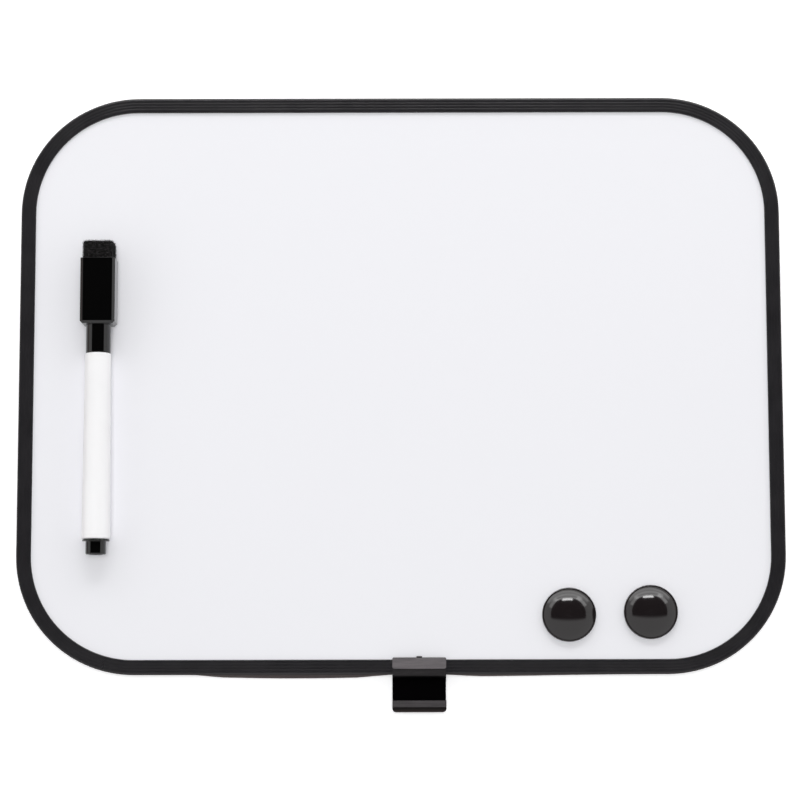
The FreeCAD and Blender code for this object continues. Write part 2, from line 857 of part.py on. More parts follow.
def eraser_felt():
    body = marker_body("eraser_felt")
    half_x = size.box_width / 2 - size.box_wall - size.felt_play
    half_z = size.box_depth / 2 - size.box_wall - size.felt_play
    block = new_sketch(body, "XZ_Plane", "felt_block", -(cap_length - size.felt_held))
    rectangle(block, -half_x, -half_z, half_x, half_z)
    pad(body, block, size.felt_held + size.felt_proud, backwards=True)
    return body


def cap_magnet():
    """Block magnet between the tube's end and the felt, against the side that meets the board."""
    body = marker_body("cap_magnet")
    floor = size.box_wall + size.box_ledge - size.box_depth / 2
    front = cap_length - size.felt_held
    length = front - tube_end - size.cap_magnet_gap
    half = size.cap_magnet_width / 2
    block = new_sketch(body, "XZ_Plane", "magnet_block", -front)
    rectangle(block, -half, floor, half, floor + size.cap_magnet_thickness)
    pad(body, block, length)
    return body


def round_magnet(side, edge_gap, foot_gap):
    """A domed cap with a ferrite disc pressed into its underside."""
    x = half_width - edge_gap
    y = board_middle - half_height + foot_gap
    crown = size.dome_radius - size.dome_rim
    rise = size.dome_height - size.dome_side
    ball = crown_radius(crown, rise)
    ball_middle = size.dome_height - ball
    dome = new_body(f"magnet_{side}_cap", x, y, writing_face)

    # The crown is turned about a level axis, so that its surface has no pole on the dome.
    blank = new_sketch(dome, "XY_Plane", f"{side}_crown", size.dome_side)
    circle(blank, crown)
    pad(dome, blank, rise)
    reach = crown + size.overrun
    foot = ball_middle + root(ball * ball - reach * reach)
    waste = new_sketch(dome, "XZ_Plane", f"{side}_round")
    level_axis(waste, ball_middle, reach)
    outline(
        waste,
        [
            (-reach, foot, ball, -1),
            (reach, foot),
            (reach, size.dome_height + crown),
            (-reach, size.dome_height + crown),
        ],
    )
    groove(dome, waste, "Axis0")

    foot_ring = new_sketch(dome, "XY_Plane", f"{side}_rim")
    circle(foot_ring, size.dome_radius)
    pad(dome, foot_ring, size.dome_side)
    seat = size.disc_radius + size.disc_fit
    core = seat - size.dome_ledge
    core_top = size.disc_thickness + size.dome_core
    bore = new_sketch(dome, "XZ_Plane", f"{side}_seat")
    outline(
        bore,
        [
            (0, 0),
            (seat, 0),
            (seat, size.disc_thickness),
            (core, size.disc_thickness),
            (core, core_top),
            (0, core_top),
        ],
    )
    groove(dome, bore)

    disc = new_body(f"magnet_{side}_disc", x, y, writing_face)
    slug = new_sketch(disc, "XZ_Plane", f"{side}_disc")
    rectangle(slug, 0, 0, size.disc_radius, size.disc_thickness)
    revolve(disc, slug)
    return [dome, disc]


def build_all():
    layer = board_back + size.trim_lip
    pieces = [
        frame_trim(),
        panel("backing_sheet", layer, size.backing_thickness),
        panel("core_board", layer + size.backing_thickness, size.core_thickness),
        panel("writing_sheet", writing_face - size.sheet_thickness, size.sheet_thickness),
        marker_clip(),
        barrel(),
        nib_holder(),
        nib(),
        ink_reservoir(),
        end_plug(),
        marker_cap(),
        eraser_felt(),
        cap_magnet(),
    ]
    pieces += round_magnet("left", size.left_magnet_edge_gap, size.left_magnet_foot_gap)
    pieces += round_magnet("right", size.right_magnet_edge_gap, size.right_magnet_foot_gap)
    return pieces


def check(pieces):
    """Stops on anything that failed to build or is not one sound solid."""
    for item in doc.Objects:
        if "Invalid" in item.State or "Error" in item.State:
            raise ValueError(f"{item.Label} failed: {item.State}")
    for body in pieces:
        shape = body.Shape
        if shape.isNull() or not shape.isValid() or len(shape.Solids) != 1:
            raise ValueError(f"{body.Label} is not one valid solid")


pieces = build_all()
doc.recompute()
check(pieces)
os.makedirs("parts", exist_ok=True)
for body in pieces:
    body.Shape.exportStep(f"parts/{body.Label}.step")
    corner = body.Shape.BoundBox
    print(f"{body.Label}: {corner.XLength:.2f} x {corner.YLength:.2f} x {corner.ZLength:.2f} mm")
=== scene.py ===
import math

import bmesh
import bpy
from mathutils import Matrix, Vector


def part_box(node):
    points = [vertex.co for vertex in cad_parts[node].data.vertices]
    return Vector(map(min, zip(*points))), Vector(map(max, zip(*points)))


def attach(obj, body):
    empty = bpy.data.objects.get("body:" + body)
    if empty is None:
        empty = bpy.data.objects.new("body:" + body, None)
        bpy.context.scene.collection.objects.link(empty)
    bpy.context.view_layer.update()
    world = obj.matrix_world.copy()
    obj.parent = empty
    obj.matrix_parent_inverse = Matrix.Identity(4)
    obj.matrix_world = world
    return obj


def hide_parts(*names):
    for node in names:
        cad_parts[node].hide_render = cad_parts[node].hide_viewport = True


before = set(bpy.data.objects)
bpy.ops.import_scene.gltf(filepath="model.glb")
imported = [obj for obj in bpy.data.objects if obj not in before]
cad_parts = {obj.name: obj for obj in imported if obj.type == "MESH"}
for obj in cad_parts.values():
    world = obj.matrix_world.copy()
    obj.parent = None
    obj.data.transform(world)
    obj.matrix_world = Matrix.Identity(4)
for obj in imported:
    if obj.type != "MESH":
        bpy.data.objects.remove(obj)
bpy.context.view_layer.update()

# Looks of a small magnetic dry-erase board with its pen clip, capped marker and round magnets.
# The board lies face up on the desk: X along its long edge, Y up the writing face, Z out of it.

MM = 0.001

# Places read from the frame, in metres.
trim_low, trim_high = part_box("frame_trim")
felt_low, felt_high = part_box("eraser_felt")
clip_low, clip_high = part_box("marker_clip")
holder_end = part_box("marker_cap")[1].y
writing_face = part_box("writing_sheet")[1].z
board_middle = (trim_low + trim_high) / 2


# Small tools

def linear(code):
    """An sRGB hex colour as linear RGBA."""
    channels = [int(code[place:place + 2], 16) / 255 for place in (1, 3, 5)]
    shares = [c / 12.92 if c <= 0.04045 else ((c + 0.055) / 1.055) ** 2.4 for c in channels]
    return (*shares, 1.0)


def clamped(share):
    """The share, kept between 0 and 1."""
    return min(max(share, 0.0), 1.0)


def per_metre(size_mm):
    """The scale of a pattern whose features are about size_mm across."""
    return 1 / (size_mm * MM)


def feed(tree, node, links):
    """Links each source to the node's socket of that name or number."""
    for socket, source in links.items():
        tree.links.new(source, node.inputs[socket])


def add(tree, kind, settings=None, values=None, links=None):
    """Adds a node with its settings, socket values and incoming links."""
    made = tree.nodes.new(kind)
    for name, value in (settings or {}).items():
        setattr(made, name, value)
    for socket, value in (values or {}).items():
        made.inputs[socket].default_value = value
    feed(tree, made, links or {})
    return made


def surface(name, values):
    """A new material, its tree and its shader with these values, some of which a pattern then varies."""
    material = bpy.data.materials.new(name)
    material.use_nodes = True
    tree = material.node_tree
    shader = tree.nodes["Principled BSDF"]
    for socket, value in values.items():
        shader.inputs[socket].default_value = value
    return material, tree, shader


def pattern_place(tree, stretch=(1, 1, 1)):
    """Object coordinates in metres, stretched for patterns that run one way."""
    place = add(tree, "ShaderNodeTexCoord")
    stretched = add(
        tree,
        "ShaderNodeMapping",
        values={"Scale": stretch},
        links={"Vector": place.outputs["Object"]},
    )
    return stretched.outputs["Vector"]


def fine_relief(tree, shader, place, size_mm, detail, depth_mm, strength):
    """Makes the surface uneven: features size_mm across and depth_mm deep. Returns their height."""
    height = add(
        tree,
        "ShaderNodeTexNoise",
        values={"Scale": per_metre(size_mm), "Detail": detail},
        links={"Vector": place},
    )
    bump = add(
        tree,
        "ShaderNodeBump",
        values={"Distance": depth_mm * MM, "Strength": strength},
        links={"Height": height.outputs["Fac"]},
    )
    feed(tree, shader, {"Normal": bump.outputs["Normal"]})
    return height.outputs["Fac"]


def uneven_gloss(tree, shader, place, size_mm, detail, least, most):
    """Lets the roughness wander between two levels in patches size_mm across. Returns the patches."""
    patches = add(
        tree,
        "ShaderNodeTexNoise",
        values={"Scale": per_metre(size_mm), "Detail": detail},
        links={"Vector": place},
    )
    level = add(
        tree,
        "ShaderNodeMapRange",
        values={"To Min": least, "To Max": most},
        links={"Value": patches.outputs["Fac"]},
    )
    feed(tree, shader, {"Roughness": level.outputs["Result"]})
    return patches.outputs["Fac"]


# A colour mix has its sockets' names several times over, so they go by number.
MIX_FACTOR, MIX_FIRST, MIX_SECOND, MIX_COLOUR = 0, 6, 7, 2


def two_colours(tree, shader, share, first, second):
    """Colours the surface from the first hex colour to the second as share runs from 0 to 1."""
    mix = add(
        tree,
        "ShaderNodeMix",
        {"data_type": "RGBA"},
        {MIX_FIRST: linear(first), MIX_SECOND: linear(second)},
        {MIX_FACTOR: share},
    )
    feed(tree, shader, {"Base Color": mix.outputs[MIX_COLOUR]})


# Materials

def dry_erase_enamel():
    """Gloss enamel sprayed and baked on steel: near white with a cool cast and a slight orange peel."""
    material, tree, shader = surface(
        "Dry-erase enamel, sprayed and baked",
        {"Base Color": linear("#EEEEF2"), "Roughness": 0.22, "IOR": 1.5, "Specular IOR Level": 0.3},
    )
    place = pattern_place(tree)
    fine_relief(tree, shader, place, size_mm=1.6, detail=1.0, depth_mm=0.0015, strength=0.6)
    uneven_gloss(tree, shader, place, size_mm=38.0, detail=2.0, least=0.19, most=0.26)
    return material


# The pattern of the die lines passes this slowly along the trim, which draws it out into lines.
DIE_LINE_PACE = 0.012


def soft_pvc():
    """Extruded soft PVC: black, satin, with die lines along its length and a dusty bloom.

    The lines are drawn wider than the die's own scratches, so that they show.
    """
    material, tree, shader = surface(
        "Soft PVC, extruded",
        {"Base Color": linear("#161518"), "Roughness": 0.38, "IOR": 1.5},
    )
    along = add(tree, "ShaderNodeAttribute", {"attribute_name": "along"})
    around = add(tree, "ShaderNodeAttribute", {"attribute_name": "around"})
    place = add(
        tree,
        "ShaderNodeCombineXYZ",
        links={"X": along.outputs["Fac"], "Y": around.outputs["Fac"]},
    )
    drawn = add(
        tree,
        "ShaderNodeMapping",
        values={"Scale": (DIE_LINE_PACE, 1, 1)},
        links={"Vector": place.outputs["Vector"]},
    )
    fine_relief(
        tree, shader, drawn.outputs["Vector"], size_mm=0.35, detail=2.0, depth_mm=0.02, strength=0.7
    )
    bloom = uneven_gloss(
        tree, shader, place.outputs["Vector"], size_mm=9.0, detail=3.0, least=0.32, most=0.46
    )
    two_colours(tree, shader, bloom, "#131215", "#1B191C")
    return material


def gloss_abs(name, colour, roughness):
    """Injection moulded ABS from a polished mould: deep gloss, with the faint flow marks of the melt."""
    material, tree, shader = surface(
        name,
        {"Base Color": linear(colour), "Roughness": roughness, "IOR": 1.53},
    )
    place = pattern_place(tree)
    fine_relief(tree, shader, place, size_mm=2.4, detail=2.0, depth_mm=0.0012, strength=0.5)
    uneven_gloss(
        tree, shader, place, size_mm=0.5, detail=4.0, least=roughness * 0.8, most=roughness * 1.25
    )
    return material


# How strong the painted light on the clip's level faces is, from their height in mm: the nose, the plate,
# the lip.
PAINTED_LIGHT_BY_HEIGHT = [(8.0, 0.0), (8.5, 0.16), (9.15, 0.16), (9.35, 1.0), (10.5, 1.0), (11.2, 0.42)]
PAINTED_LIGHT_TOP = 13.0


def level_painted_light(tree, place):
    """How much painted light the clip gets: by its height, and only where it lies about level."""
    facing = add(tree, "ShaderNodeNewGeometry")
    upward = add(tree, "ShaderNodeSeparateXYZ", links={"Vector": facing.outputs["True Normal"]})
    level = add(
        tree,
        "ShaderNodeMapRange",
        {"interpolation_type": "SMOOTHSTEP"},
        {"From Min": 0.72, "From Max": 0.92},
        {"Value": upward.outputs["Z"]},
    )
    height = add(tree, "ShaderNodeSeparateXYZ", links={"Vector": place})
    share = add(
        tree,
        "ShaderNodeMath",
        {"operation": "DIVIDE"},
        {1: PAINTED_LIGHT_TOP * MM},
        {0: height.outputs["Z"]},
    )
    depth = add(tree, "ShaderNodeValToRGB", links={"Fac": share.outputs["Value"]})
    steps = depth.color_ramp.elements
    steps.remove(steps[1])
    for number, (place_mm, amount) in enumerate(PAINTED_LIGHT_BY_HEIGHT):
        step = steps[0] if number == 0 else steps.new(place_mm / PAINTED_LIGHT_TOP)
        step.position = place_mm / PAINTED_LIGHT_TOP
        step.color = (amount, amount, amount, 1)
    painted_light = add(
        tree,
        "ShaderNodeMath",
        {"operation": "MULTIPLY"},
        links={0: level.outputs["Result"], 1: depth.outputs["Color"]},
    )
    return painted_light.outputs["Value"]


# Streaks in the painted light on the clip: their width in mm, and how slowly they change along the clip.
STREAK_WIDTH = 0.9
STREAK_PACE = 0.09


def streaked_painted_light(tree, painted_light, grit):
    """The painted light, stronger and weaker in streaks and with the grain."""
    streaks = add(
        tree,
        "ShaderNodeTexNoise",
        values={"Scale": per_metre(STREAK_WIDTH), "Detail": 2.0},
        links={"Vector": pattern_place(tree, (STREAK_PACE, 1, 1))},
    )
    for pattern, least, most in ((streaks.outputs["Fac"], 0.55, 1.45), (grit, 0.8, 1.1)):
        amount = add(
            tree,
            "ShaderNodeMapRange",
            values={"To Min": least, "To Max": most},
            links={"Value": pattern},
        )
        worn = add(
            tree,
            "ShaderNodeMath",
            {"operation": "MULTIPLY"},
            links={0: painted_light, 1: amount.outputs["Result"]},
        )
        painted_light = worn.outputs["Value"]
    return painted_light


# The pen trough's hollow, in mm: its axis as (Y, Z), its radius, and how far past it the painted shade
# fades, where the gloss is taken away so that the recess stays black.
TROUGH_AXIS = (-115.65, 7.1)
TROUGH_RADIUS = 5.5
TROUGH_FADE = (0.4, 0.1)


def trough_hollow(tree):
    """1 in the pen trough's hollow and 0 outside it."""
    from_axis = add(
        tree,
        "ShaderNodeVectorMath",
        {"operation": "DISTANCE"},
        {1: (0, TROUGH_AXIS[0] * MM, TROUGH_AXIS[1] * MM)},
        {0: pattern_place(tree, (0, 1, 1))},
    )
    fade_start, fade_end = TROUGH_FADE
    hollow = add(
        tree,
        "ShaderNodeMapRange",
        values={"From Min": (TROUGH_RADIUS + fade_start) * MM, "From Max": (TROUGH_RADIUS + fade_end) * MM},
        links={"Value": from_axis.outputs["Value"]},
    )
    return hollow.outputs["Result"]


def clip_abs_with_painted_light():
    """Black ABS of the clip: satin, with painted shade in the trough, where its gloss is taken away, and
    painted grey light with streaks where it lies level, which is also rougher there.

    Its grain is drawn coarser than the mould's own, so that it shows.
    """
    material, tree, shader = surface(
        "Black ABS of the clip, frosted",
        {"Base Color": linear("#060506"), "Roughness": 0.3, "IOR": 1.53, "Specular IOR Level": 0.1},
    )
    place = pattern_place(tree)
    grit = fine_relief(tree, shader, place, size_mm=0.35, detail=4.0, depth_mm=0.006, strength=0.6)
    painted_light = level_painted_light(tree, place)
    # Painted light: the clip's level, upward faces are coloured grey where the overhead light falls on them,
    # most on the plate.
    two_colours(tree, shader, streaked_painted_light(tree, painted_light, grit), "#060506", "#6B6769")
    for socket, share, bare, covered in (
        # Painted shade: no gloss inside the trough's hollow, so that the recess stays black.
        ("Specular IOR Level", trough_hollow(tree), 0.1, 0.0),
        ("Roughness", painted_light, 0.3, 0.5),
    ):
        level = add(
            tree,
            "ShaderNodeMapRange",
            values={"To Min": bare, "To Max": covered},
            links={"Value": share},
        )
        feed(tree, shader, {socket: level.outputs["Result"]})
    return material


def white_barrel_plastic():
    """Moulded white polypropylene: soft gloss and a little light inside the wall."""
    material, tree, shader = surface(
        "White polypropylene, moulded",
        {
            "Base Color": linear("#FDFCFE"),
            "Roughness": 0.28,
            "IOR": 1.49,
            "Subsurface Weight": 0.45,
            "Subsurface Radius": (1.0, 1.0, 1.0),
            "Subsurface Scale": 1.1 * MM,
        },
    )
    place = pattern_place(tree, (1, 0.15, 1))
    fine_relief(tree, shader, place, size_mm=1.2, detail=2.0, depth_mm=0.0015, strength=0.5)
    return material


def satin_natural_plastic():
    """Moulded natural polypropylene of the inner pieces: off-white and waxy."""
    material, tree, shader = surface(
        "Natural polypropylene, moulded",
        {
            "Base Color": linear("#E6E5E1"),
            "Roughness": 0.4,
            "IOR": 1.49,
            "Subsurface Weight": 0.2,
            "Subsurface Scale": MM,
        },
    )
    fine_relief(tree, shader, pattern_place(tree), size_mm=0.8, detail=3.0, depth_mm=0.004, strength=0.5)
    return material


def pressed_felt():
    """Pressed wool felt: dead black, matt, with a nap of lighter fibre ends, drawn coarse enough to show."""
    material, tree, shader = surface(
        "Wool felt, pressed",
        {
            "Base Color": linear("#111011"),
            "Roughness": 0.95,
            "IOR": 1.4,
            "Specular IOR Level": 0.2,
            "Sheen Weight": 0.05,
            "Sheen Roughness": 0.5,
        },
    )
    nap = fine_relief(
        tree, shader, pattern_place(tree), size_mm=0.45, detail=6.0, depth_mm=0.25, strength=0.9
    )
    specks = add(
        tree,
        "ShaderNodeMapRange",
        {"interpolation_type": "SMOOTHSTEP"},
        {"From Min": 0.48, "From Max": 0.75},
        {"Value": nap},
    )
    two_colours(tree, shader, specks.outputs["Result"], "#040404", "#4A4748")
    return material


def sintered_ferrite():
    """Sintered ferrite, ground flat: charcoal grey with a granular face, coarser than its real grains."""
    material, tree, shader = surface(
        "Ferrite, sintered and ground",
        {"Base Color": linear("#4A4A4D"), "Roughness": 0.55, "IOR": 1.8},
    )
    place = pattern_place(tree)
    grit = fine_relief(tree, shader, place, size_mm=0.15, detail=4.0, depth_mm=0.02, strength=0.8)
    two_colours(tree, shader, grit, "#3C3C3F", "#58585B")
    return material


def backing_sheet_plastic():
    """Calendered white plastic sheet on the back: flat, matt and faintly pebbled."""
    material, tree, shader = surface(
        "Polystyrene sheet, calendered",
        {"Base Color": linear("#E4E4E5"), "Roughness": 0.55, "IOR": 1.55},
    )
    fine_relief(tree, shader, pattern_place(tree), size_mm=0.6, detail=2.0, depth_mm=0.02, strength=0.6)
    return material


def pressed_fibreboard():
    """Pressed fibreboard core, seen only at the joint of the trim: brown with short fibres."""
    material, tree, shader = surface(
        "Fibreboard, pressed",
        {"Base Color": linear("#A98A66"), "Roughness": 0.85, "IOR": 1.45},
    )
    place = pattern_place(tree, (1, 1, 3))
    fibres = fine_relief(tree, shader, place, size_mm=0.8, detail=6.0, depth_mm=0.06, strength=0.8)
    two_colours(tree, shader, fibres, "#8B6E4B", "#BFA27E")
    return material


def soaked_fibre():
    """Bonded acrylic fibre soaked in black ink, its strands along the nib and thicker than real ones."""
    material, tree, shader = surface(
        "Acrylic fibre, bonded",
        {"Base Color": linear("#141315"), "Roughness": 0.6, "IOR": 1.45},
    )
    place = pattern_place(tree, (1, 0.05, 1))
    fine_relief(tree, shader, place, size_mm=0.12, detail=3.0, depth_mm=0.03, strength=0.8)
    return material


def reservoir_film():
    """Thin clear film round a fibre bundle: pale, with the ink showing grey."""
    material, tree, shader = surface(
        "Film sleeve, heat sealed",
        {"Base Color": linear("#8F8F92"), "Roughness": 0.25, "IOR": 1.5},
    )
    place = pattern_place(tree, (1, 0.1, 1))
    fine_relief(tree, shader, place, size_mm=0.7, detail=2.0, depth_mm=0.03, strength=0.7)
    return material


enamel = dry_erase_enamel()
trim_pvc = soft_pvc()
clip_abs = clip_abs_with_painted_light()
cap_abs = gloss_abs("Black ABS of the marker, moulded", "#070707", 0.07)
magnet_abs = gloss_abs("Black ABS of the magnets, moulded", "#1D191A", 0.11)
barrel_plastic = white_barrel_plastic()
inner_plastic = satin_natural_plastic()
felt = pressed_felt()
ferrite = sintered_ferrite()
backing = backing_sheet_plastic()
fibreboard = pressed_fibreboard()
nib_fibre = soaked_fibre()
sleeve_film = reservoir_film()


# Making and finishing meshes

# Two faces that meet at more than this keep the edge between them.
SHARP_ANGLE = math.radians(40)


def new_object(name, data):
    made = bpy.data.objects.new(name, data)
    bpy.context.scene.collection.objects.link(made)
    return made


def mesh_from(name, vertices, faces):
    data = bpy.data.meshes.new(name)
    data.from_pydata([tuple(v) for v in vertices], [], faces)
    data.validate()
    return data


def object_from(name, sheet):
    """A new object from a bmesh, which it uses up."""
    data = bpy.data.meshes.new(name)
    sheet.to_mesh(data)
    sheet.free()
    return new_object(name, data)


def baked(made):
    """The object with its modifiers turned into a plain mesh."""
    bpy.context.view_layer.update()
    graph = bpy.context.evaluated_depsgraph_get()
    data = bpy.data.meshes.new_from_object(
        made.evaluated_get(graph), preserve_all_data_layers=True, depsgraph=graph
    )
    name = made.name
    bpy.data.objects.remove(made)
    data.name = name
    return new_object(name, data)


def smooth_shaded(data):
    """Smooth shading that keeps its sharp edges."""
    data.shade_smooth()
    data.set_sharp_from_angle(angle=SHARP_ANGLE)


def finished(made, body, node, material):
    """Puts a finished piece on its body in place of its CAD node, with its material."""
    data = made.data
    data.materials.clear()
    data.materials.append(material)
    for face in data.polygons:
        face.material_index = 0
    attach(made, body)
    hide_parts(node)


def arc(centre, radius, start, end, steps):
    """Points of an arc from start to end, in degrees."""
    turns = [math.radians(start + (end - start) * step / steps) for step in range(steps + 1)]
    return [(centre[0] + radius * math.cos(turn), centre[1] + radius * math.sin(turn)) for turn in turns]


# A profile's point closer to the axis than this lies on it.
ON_AXIS = 1e-9


def turned(name, profile, origin, axis, steps):
    """A closed profile of (radius, height) points turned about an axis through origin."""
    axis = Vector(axis)
    side = axis.orthogonal().normalized()
    other = axis.cross(side)
    sheet = bmesh.new()
    rings = []
    for radius, height in profile:
        middle = Vector(origin) + axis * height
        if radius < ON_AXIS:
            rings.append([sheet.verts.new(middle)])
            continue
        ring = []
        for step in range(steps):
            turn = math.tau * step / steps
            outward = side * math.cos(turn) + other * math.sin(turn)
            ring.append(sheet.verts.new(middle + outward * radius))
        rings.append(ring)
    closed = profile[0][0] > ON_AXIS or profile[-1][0] > ON_AXIS
    following = rings[1:] + rings[:1] if closed else rings[1:]
    for low, high in zip(rings, following):
        for step in range(steps):
            after = (step + 1) % steps
            corners = [low[step % len(low)], low[after % len(low)]]
            corners += [high[after % len(high)], high[step % len(high)]]
            different = list(dict.fromkeys(corners))
            if len(different) > 2:
                sheet.faces.new(different)
    bmesh.ops.recalc_face_normals(sheet, faces=sheet.faces)
    return object_from(name, sheet)


# Loose corners of a CAD piece closer than this are one, and faces that turn less than this are one.
WELD = 0.002 * MM
FLAT_ANGLE = math.radians(0.3)

# Edges that turn more than this are broken.
BROKEN_ANGLE = math.radians(28)
BROKEN_STEPS = 3


def softened(name, node, width_mm):
    """A copy of a CAD piece with its hard edges broken by width_mm, as moulding leaves them."""
    sheet = bmesh.new()
    sheet.from_mesh(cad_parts[node].data)
    bmesh.ops.remove_doubles(sheet, verts=sheet.verts, dist=WELD)
    bmesh.ops.dissolve_limit(
        sheet,
        angle_limit=FLAT_ANGLE,
        use_dissolve_boundaries=False,
        verts=sheet.verts,
        edges=sheet.edges,
    )
    made = object_from(name, sheet)
    smooth_shaded(made.data)
    bevel = made.modifiers.new("broken edges", "BEVEL")
    bevel.width = width_mm * MM
    bevel.segments = BROKEN_STEPS
    bevel.limit_method = "ANGLE"
    bevel.angle_limit = BROKEN_ANGLE
    bevel.use_clamp_overlap = True
    flats = made.modifiers.new("flat faces", "WEIGHTED_NORMAL")
    flats.keep_sharp = True
    return baked(made)


def new_sockets(tree, labelled):
    """Gives a Geometry Nodes tree its labelled sockets."""
    for label, way, kind in labelled:
        tree.interface.new_socket(label, in_out=way, socket_type=kind)


def set_inputs(modifier, values):
    """Sets a Geometry Nodes modifier's inputs by their labels."""
    for item in modifier.node_group.interface.items_tree:
        if item.item_type == "SOCKET" and item.in_out == "INPUT" and item.name in values:
            modifier[item.identifier] = values[item.name]


# Edge trim: one section swept round the board from its joint back to its joint

CORNER_RADIUS = 47.0 * MM
CORNER_STEPS = 26
STRAIGHT_STEPS = 60

# The butt joint: how far it lies round the lower left corner, in degrees, and its gap.
JOINT_TURN = 15.7
JOINT_GAP = 0.2 * MM

TRIM_FACE = 5.9 * MM
TRIM_LIP = 1.0 * MM
TRIM_WEB = 1.2 * MM
TRIM_ROUNDING = 0.9 * MM
TRIM_ROUNDING_STEPS = 6
TRIM_TIP_ROUNDING = 0.35 * MM
TRIM_TIP_STEPS = 3

# Shallow grooves along the face: the middle of the first is this far in from the outer edge.
GROOVES = 3
GROOVE_PLACE = 1.8 * MM
GROOVE_PITCH = 1.2 * MM
GROOVE_HALF_WIDTH = GROOVE_PITCH * 0.36
GROOVE_DEPTH = 0.055 * MM
GROOVE_STEPS = 8

# The bottom edge of the soft trim has rolled outwards at its back: where, how far along, how much.
ROLLS = [(-42.0 * MM, 48.0 * MM, 1.6 * MM), (36.0 * MM, 34.0 * MM, 0.65 * MM)]

# The clip holds it straight, and it rolls again this far from the clip.
CLIP_CLEAR = 13.0 * MM

# The clip slides no further than here, and past it the edge stays straight to leave room for the jaw.
ROLL_END = -82.0 * MM
ROLL_FADE = 10.0 * MM


def straight_to(start, following):
    """Evenly spaced points of a straight run that ends at the first of the following points."""
    end = following[0]
    run = []
    for step in range(1, STRAIGHT_STEPS):
        share = step / STRAIGHT_STEPS
        run.append((start[0] + (end[0] - start[0]) * share, start[1] + (end[1] - start[1]) * share))
    return run + following


def trim_route():
    """Outer edge of the board, counter-clockwise from the joint and back to it."""
    half = (trim_high - trim_low) / 2
    in_x = half.x - CORNER_RADIUS
    in_y = half.y - CORNER_RADIUS
    joint_angle = 270 - JOINT_TURN
    half_gap = math.degrees(JOINT_GAP / 2 / CORNER_RADIUS)
    points = arc((-in_x, -in_y), CORNER_RADIUS, joint_angle + half_gap, 270, CORNER_STEPS // 2)
    corners = [((in_x, -in_y), 270), ((in_x, in_y), 0), ((-in_x, in_y), 90)]
    for centre, start in corners:
        points += straight_to(points[-1], arc(centre, CORNER_RADIUS, start, start + 90, CORNER_STEPS))
    last = arc((-in_x, -in_y), CORNER_RADIUS, 180, joint_angle - half_gap, CORNER_STEPS)
    return points + straight_to(points[-1], last)


def trim_section():
    """Channel section as (outwards, up) from the outer face's foot."""
    top = trim_high.z - trim_low.z
    soft = TRIM_ROUNDING
    tip = TRIM_TIP_ROUNDING
    points = arc((-soft, soft), soft, -90, 0, TRIM_ROUNDING_STEPS)[::-1]
    points += [(-TRIM_FACE + tip, 0.0)]
    points += arc((-TRIM_FACE + tip, tip), tip, 270, 180, TRIM_TIP_STEPS)[1:]
    points += [(-TRIM_FACE, TRIM_LIP), (-TRIM_WEB, TRIM_LIP)]
    points += [(-TRIM_WEB, top - TRIM_LIP), (-TRIM_FACE, top - TRIM_LIP)]
    points += arc((-TRIM_FACE + tip, top - tip), tip, 180, 90, TRIM_TIP_STEPS)
    for number in range(GROOVES, 0, -1):
        middle = GROOVE_PLACE + GROOVE_PITCH * (number - 1)
        for step in range(GROOVE_STEPS + 1):
            share = step / GROOVE_STEPS
            depth = GROOVE_DEPTH * (1 - math.cos(math.tau * share)) / 2
            points.append((-(middle + GROOVE_HALF_WIDTH - 2 * GROOVE_HALF_WIDTH * share), top - depth))
    return points + arc((-soft, top - soft), soft, 90, 0, TRIM_ROUNDING_STEPS)


def flat_line(name, points, cyclic):
    """A curve object of straight runs through (x, y) points."""
    data = bpy.data.curves.new(name, "CURVE")
    data.dimensions = "3D"
    spline = data.splines.new("POLY")
    spline.points.add(len(points) - 1)
    for point, place in zip(spline.points, points):
        point.co = (*place, 0.0, 1.0)
    spline.use_cyclic_u = cyclic
    return new_object(name, data)


def sweep_tree():
    """Sweeps a section along a flat route and keeps both lengths as attributes for the finish."""
    tree = bpy.data.node_groups.new("Swept trim", "GeometryNodeTree")
    new_sockets(tree, (
        ("Route", "INPUT", "NodeSocketGeometry"),
        ("Section", "INPUT", "NodeSocketObject"),
        ("Finish", "INPUT", "NodeSocketMaterial"),
        ("Trim", "OUTPUT", "NodeSocketGeometry"),
    ))
    given = add(tree, "NodeGroupInput")
    upright = add(
        tree,
        "GeometryNodeSetCurveNormal",
        {"mode": "Z_UP"},
        links={"Curve": given.outputs["Route"]},
    )
    section = add(tree, "GeometryNodeObjectInfo", links={"Object": given.outputs["Section"]})
    parameter = add(tree, "GeometryNodeSplineParameter")
    measured = {}
    for label, curve in (("along", upright.outputs["Curve"]), ("around", section.outputs["Geometry"])):
        measured[label] = add(
            tree,
            "GeometryNodeStoreNamedAttribute",
            {"data_type": "FLOAT", "domain": "POINT"},
            {"Name": label},
            {"Geometry": curve, "Value": parameter.outputs["Length"]},
        )
    swept = add(
        tree,
        "GeometryNodeCurveToMesh",
        values={"Fill Caps": True},
        links={
            "Curve": measured["along"].outputs["Geometry"],
            "Profile Curve": measured["around"].outputs["Geometry"],
        },
    )
    whole = add(tree, "GeometryNodeRealizeInstances", links={"Geometry": swept.outputs["Mesh"]})
    dressed = add(
        tree,
        "GeometryNodeSetMaterial",
        links={"Geometry": whole.outputs["Geometry"], "Material": given.outputs["Finish"]},
    )
    add(tree, "NodeGroupOutput", links={"Trim": dressed.outputs["Geometry"]})
    return tree


